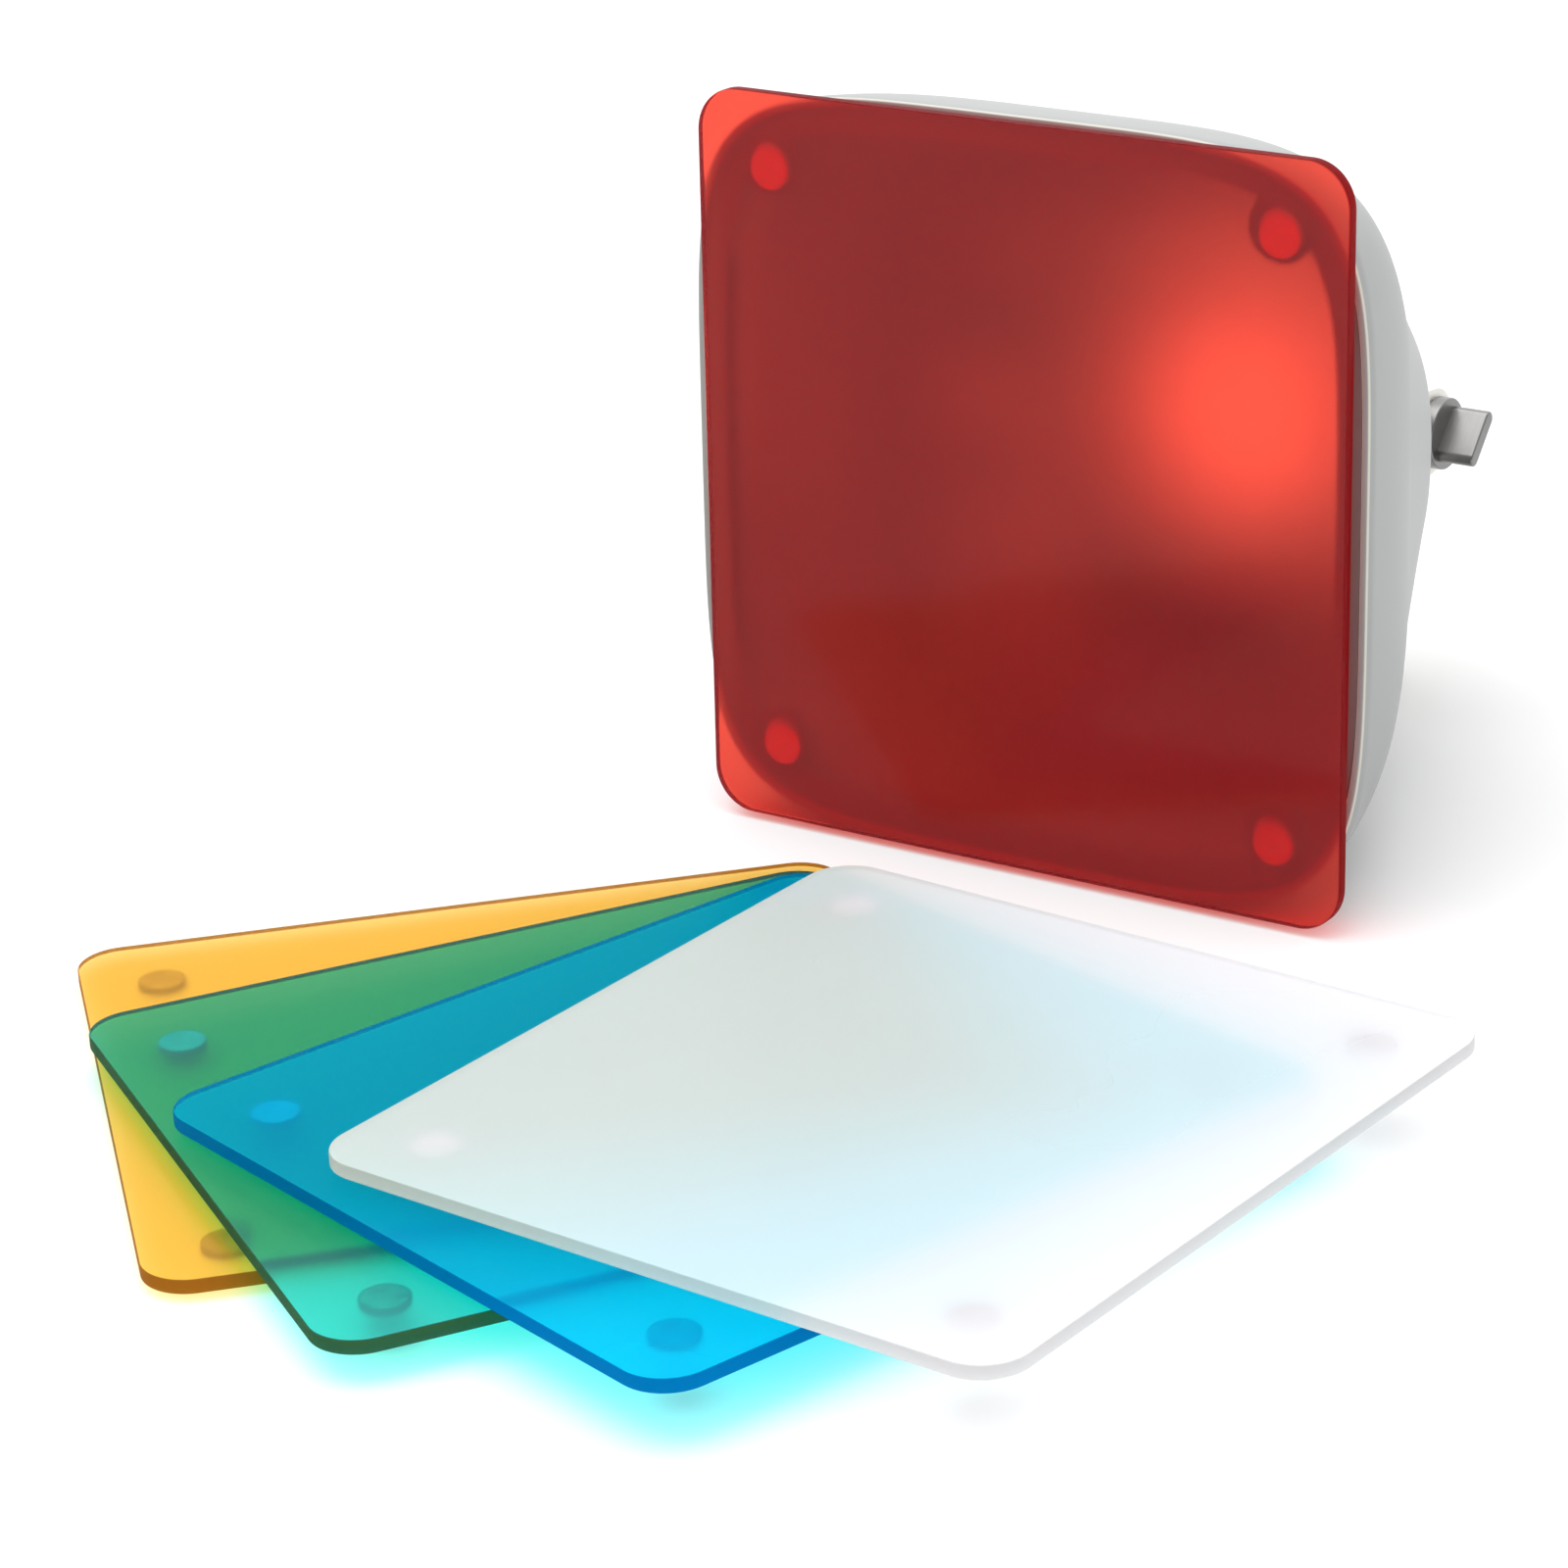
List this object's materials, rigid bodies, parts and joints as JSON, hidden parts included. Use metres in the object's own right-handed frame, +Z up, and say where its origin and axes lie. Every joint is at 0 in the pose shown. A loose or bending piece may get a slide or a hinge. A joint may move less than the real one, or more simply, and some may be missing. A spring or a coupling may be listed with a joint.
{
  "type": "darkroom safelight",
  "caption": "Square-faced LED darkroom safelight on a tilting stand, with a magnetic red filter plate fitted and a fan of spare coloured filter plates in front.",
  "frame": {"origin": "on the bench, in the middle of the footprint of the laid-out set (lamp behind, spare filters in front)", "axes": "+Z up, the lamp faces -Y, +X is to the right of someone looking into the lamp's face"},
  "size_m": [0.2934, 0.4112, 0.1685],
  "materials": {
    "housing_grey": "moulded plastic, cool light grey, fine satin texture",
    "cover_grey": "moulded plastic, paler grey, fine satin texture",
    "cream_plastic": "moulded plastic, warm cream, satin",
    "black_plastic": "moulded black plastic",
    "rubber": "matt black rubber",
    "brushed_steel": "brushed stainless steel",
    "zinc_steel": "zinc-plated steel fasteners",
    "nickel": "nickel-plated disc magnets",
    "aluminium": "satin aluminium",
    "white_board": "white solder-masked board",
    "opal": "opal diffusing plastic, lit from behind",
    "red_acrylic": "clear deep red cast acrylic, frosted faces, polished edges",
    "amber_acrylic": "clear amber cast acrylic, frosted faces, polished edges",
    "green_acrylic": "clear green cast acrylic, frosted faces, polished edges",
    "blue_acrylic": "clear blue cast acrylic, frosted faces, polished edges",
    "white_acrylic": "milky white cast acrylic, frosted faces"
  },
  "bodies": {
    "stand": {"stand_base": "cream_plastic", "stand_leg": "cream_plastic", "leg_screw": "zinc_steel", "base_foot_1": "rubber", "base_foot_2": "rubber", "base_foot_3": "rubber", "base_foot_4": "rubber"},
    "head": {"hinge_block": "cream_plastic", "hinge_screw_1": "zinc_steel", "hinge_screw_2": "zinc_steel", "pivot_stud": "zinc_steel", "lock_nut": "zinc_steel", "friction_washer_1": "black_plastic", "friction_washer_2": "black_plastic", "front_shell": "housing_grey", "filter_ring": "housing_grey", "ring_magnet_1": "nickel", "ring_magnet_2": "nickel", "ring_magnet_3": "nickel", "ring_magnet_4": "nickel", "rear_cover": "cover_grey", "cover_screw_1": "zinc_steel", "cover_screw_2": "zinc_steel", "cover_screw_3": "zinc_steel", "cover_screw_4": "zinc_steel", "led_heat_sink": "aluminium", "led_board": "white_board", "dome_diffuser": "opal", "diffuser_bezel": "aluminium", "driver_box": "black_plastic", "led_lead": "black_plastic", "dc_jack": "black_plastic", "switch_body": "black_plastic"},
    "knob": {"wing_knob": "brushed_steel"},
    "button": {"push_button": "black_plastic"},
    "red_plate": {"red_filter": "red_acrylic", "red_disc_1": "nickel", "red_disc_2": "nickel", "red_disc_3": "nickel", "red_disc_4": "nickel"},
    "amber_plate": {"amber_filter": "amber_acrylic", "amber_disc_1": "nickel", "amber_disc_2": "nickel", "amber_disc_3": "nickel", "amber_disc_4": "nickel"},
    "green_plate": {"green_filter": "green_acrylic", "green_disc_1": "nickel", "green_disc_2": "nickel", "green_disc_3": "nickel", "green_disc_4": "nickel"},
    "blue_plate": {"blue_filter": "blue_acrylic", "blue_disc_1": "nickel", "blue_disc_2": "nickel", "blue_disc_3": "nickel", "blue_disc_4": "nickel"},
    "white_plate": {"white_filter": "white_acrylic", "white_disc_1": "nickel", "white_disc_2": "nickel", "white_disc_3": "nickel", "white_disc_4": "nickel"}
  },
  "joints": [
    {"name": "head_tilt", "type": "hinge", "parent": "stand", "child": "head", "pos_m": [0.00081, 0.19535, 0.06416], "axis": [-1, 0, 0], "range_deg": [0, 60]},
    {"name": "knob_turn", "type": "hinge", "parent": "head", "child": "knob", "pos_m": [0.03081, 0.19535, 0.06416], "axis": [1, 0, 0], "range_deg": [0, 270]},
    {"name": "button_press", "type": "slide", "parent": "head", "child": "button", "axis": [1, 0, 0], "range_m": [0, 0.002]},
    {"name": "filter_pull", "type": "slide", "parent": "head", "child": "red_plate", "axis": [0, -0.9991, 0.0429], "range_m": [0, 0.015]},
    {"name": "amber_lift", "type": "slide", "parent": "stand", "child": "amber_plate", "axis": [0, 0, 1], "range_m": [0, 0.025]},
    {"name": "green_lift", "type": "slide", "parent": "amber_plate", "child": "green_plate", "axis": [0, 0, 1], "range_m": [0, 0.025]},
    {"name": "blue_lift", "type": "slide", "parent": "green_plate", "child": "blue_plate", "axis": [0, 0, 1], "range_m": [0, 0.025]},
    {"name": "white_lift", "type": "slide", "parent": "blue_plate", "child": "white_plate", "axis": [0, 0, 1], "range_m": [0, 0.025]}
  ]
}
